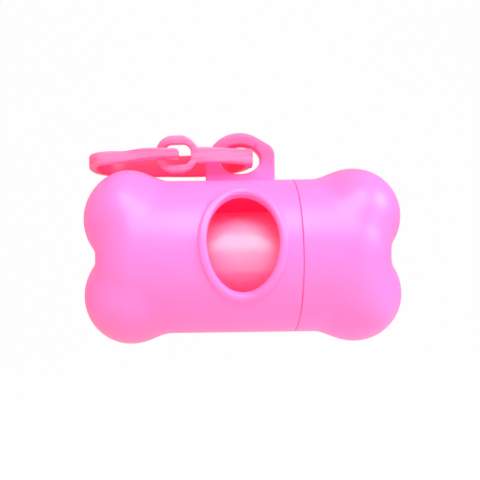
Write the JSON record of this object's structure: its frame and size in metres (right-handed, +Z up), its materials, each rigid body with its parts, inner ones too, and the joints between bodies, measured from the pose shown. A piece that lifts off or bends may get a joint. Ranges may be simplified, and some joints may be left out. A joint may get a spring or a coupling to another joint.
{
  "type": "dog waste bag dispenser",
  "caption": "Bone-shaped plastic dispenser that holds a roll of pet waste bags, pulled out through an egg-shaped window, with a screw-off end and a snap ring for a leash.",
  "frame": {"origin": "centre of the eye in the hanging lug, on top of the barrel", "axes": "+X along the bone towards the screw-off end, +Y to the back, away from the window, +Z up from the barrel to the lug"},
  "size_m": [0.084, 0.042, 0.0566],
  "materials": {
    "shell": "satin moulded plastic",
    "ring": "satin moulded plastic",
    "film": "soft thin film",
    "card": "plain cardboard"
  },
  "bodies": {
    "housing": {"bone_body": "shell"},
    "roll_carrier": {"roll_core": "card"},
    "cap": {"bone_cap": "shell"},
    "roll": {"bag_roll": "film", "leading_bag": "film"},
    "ring": {"clip_frame": "ring"},
    "ring_arm": {"clip_arm": "ring"}
  },
  "joints": [
    {"name": "cap_advance", "type": "slide", "parent": "housing", "child": "roll_carrier", "axis": [1, 0, 0], "range_m": [0, 0.008]},
    {"name": "cap_turn", "type": "hinge", "parent": "roll_carrier", "child": "cap", "pos_m": [0.028, 0, -0.0261], "axis": [1, 0, 0], "range_deg": [0, 720]},
    {"name": "roll_spin", "type": "hinge", "parent": "roll_carrier", "child": "roll", "pos_m": [0, 0, -0.0286], "axis": [1, 0, 0], "continuous": true},
    {"name": "ring_swing", "type": "hinge", "parent": "housing", "child": "ring", "pos_m": [-0.0002, 0, 0.0005], "axis": [0, 1, 0], "range_deg": [0, 170]},
    {"name": "arm_flex", "type": "hinge", "parent": "ring", "child": "ring_arm", "pos_m": [-0.0355, -0.0085, 0], "axis": [0, 0, -1], "range_deg": [0, 14], "stiffness_Nm_per_rad": 0.15}
  ],
  "couplings": [
    {"joint": "cap_advance", "follows": "cap_turn", "m_per_rad": 0.00063662}
  ]
}
